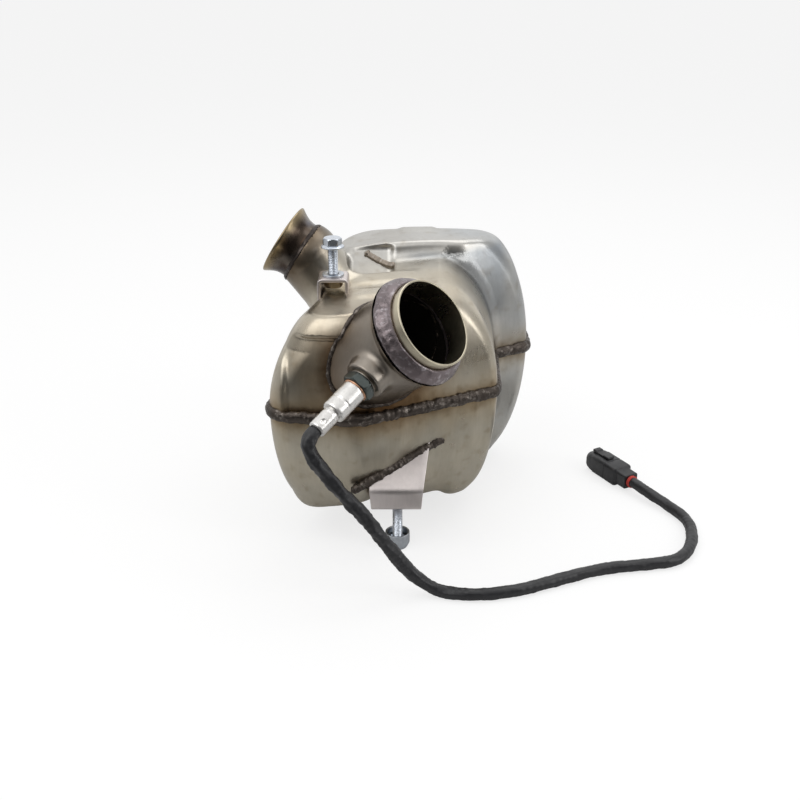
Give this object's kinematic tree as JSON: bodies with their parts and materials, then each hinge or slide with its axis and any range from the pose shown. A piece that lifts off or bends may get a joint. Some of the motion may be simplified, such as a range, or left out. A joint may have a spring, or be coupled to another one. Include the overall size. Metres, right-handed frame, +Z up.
{
  "type": "motorcycle exhaust muffler",
  "caption": "Pressed sheet-metal exhaust muffler box with a flared inlet, a large outlet pipe, a gas sensor with its lead and plug, and bolted mounts.",
  "frame": {"origin": "where the axis of the lower mounting bolt meets the floor that the muffler stands on", "axes": "+Z up, +Y from the outlet side to the rear lobe, +X from the inlet side to the right; the shells' seam is level, 115 mm up"},
  "size_m": [0.3536, 0.298, 0.2481],
  "materials": {
    "shell": "satin stainless",
    "weld": "tinted weld bead",
    "pipe": "heat-tinted stainless",
    "stub": "satin stainless",
    "inlet": "dark heat tint",
    "inside": "plain stainless",
    "core": "honeycomb ceramic, matt",
    "mat": "fibre mat",
    "sensor_hex": "dark plated steel",
    "copper": "copper ring",
    "sleeve": "bright satin steel",
    "grommet": "black",
    "lead": "black wrinkled sleeve",
    "connector": "black",
    "seal": "red",
    "zinc": "bluish zinc plate",
    "bracket": "satin sheet"
  },
  "bodies": {
    "root": {"upper_shell": "shell", "lower_shell": "shell", "seam_weld": "weld", "outlet_pipe": "pipe", "outlet_stub": "stub", "outlet_collar": "weld", "outlet_root_weld": "weld", "inlet_pipe": "inlet", "inlet_weld": "weld", "pocket_weld": "weld", "front_baffle": "inside", "side_baffle": "inside", "transfer_tube": "inside", "catalyst_can": "inside", "catalyst_mat": "mat", "catalyst_core": "core", "sensor_boss": "pipe", "sensor_boss_weld": "weld", "sensor_gasket": "copper", "sensor_body": "sensor_hex", "sensor_probe": "inside", "sensor_ring": "copper", "sensor_sleeve": "sleeve", "sensor_cap": "sleeve", "sensor_grommet": "grommet", "sensor_lead": "lead", "connector_housing": "connector", "connector_lock": "connector", "connector_seal": "seal", "lower_bracket": "bracket", "lower_bracket_weld": "weld", "lower_weld_nut": "zinc", "lower_bolt": "zinc", "lower_cup_washer": "zinc", "upper_bracket": "bracket", "upper_weld_nut": "zinc", "upper_washer": "zinc", "upper_bolt": "zinc"}
  },
  "joints": []
}
